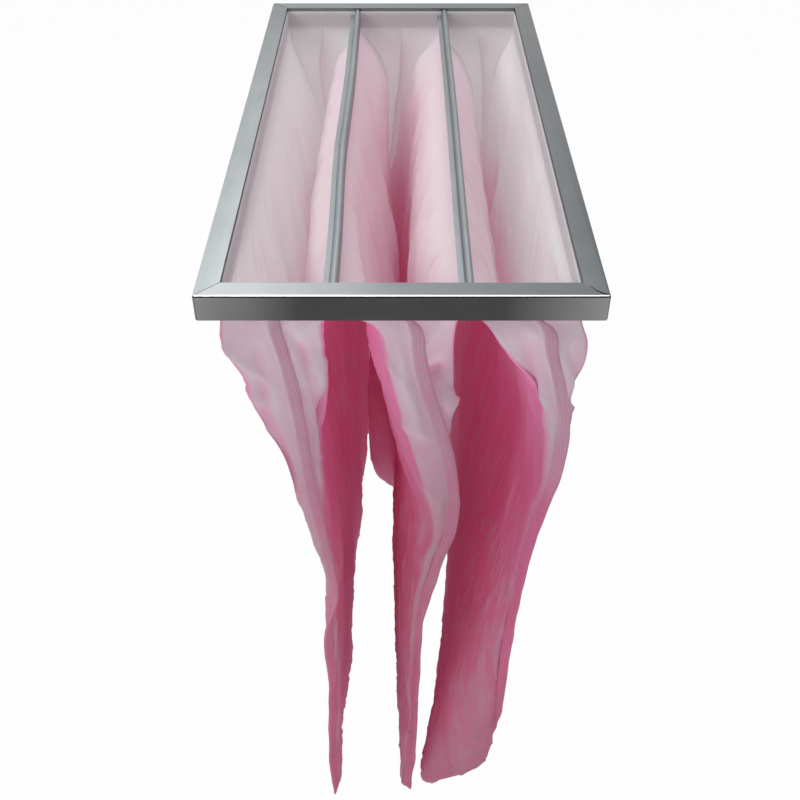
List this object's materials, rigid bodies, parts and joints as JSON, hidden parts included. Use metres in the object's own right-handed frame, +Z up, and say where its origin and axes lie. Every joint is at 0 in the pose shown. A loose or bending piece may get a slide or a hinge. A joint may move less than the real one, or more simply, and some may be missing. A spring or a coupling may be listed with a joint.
{
  "type": "bag air filter",
  "caption": "Bag air filter for a ventilation unit: a folded steel header frame holding limp pockets of pink synthetic media that hang open at the top and closed below.",
  "frame": {"origin": "centre of the header's lower face, the face that seats in the duct's filter frame", "axes": "+Z up out of the pocket mouths against the air flow, +Y along the header's long side away from the viewer, +X across the pockets to the right"},
  "size_m": [0.2884, 0.5938, 0.64],
  "materials": {
    "galvanised_steel": "semi-gloss galvanised sheet",
    "clip_steel": "plain galvanised sheet",
    "rivet_alloy": "plain",
    "filter_media": "matt non-woven"
  },
  "bodies": {
    "root": {"header_frame": "galvanised_steel", "closing_rivet": "rivet_alloy", "divider_left": "galvanised_steel", "divider_right": "galvanised_steel", "side_clip_left": "clip_steel", "side_clip_right": "clip_steel", "near_clip_left": "clip_steel", "far_clip_left": "clip_steel", "near_clip_middle": "clip_steel", "far_clip_middle": "clip_steel", "near_clip_right": "clip_steel", "far_clip_right": "clip_steel", "pocket_left": "filter_media", "pocket_middle": "filter_media", "pocket_right": "filter_media"}
  },
  "joints": []
}
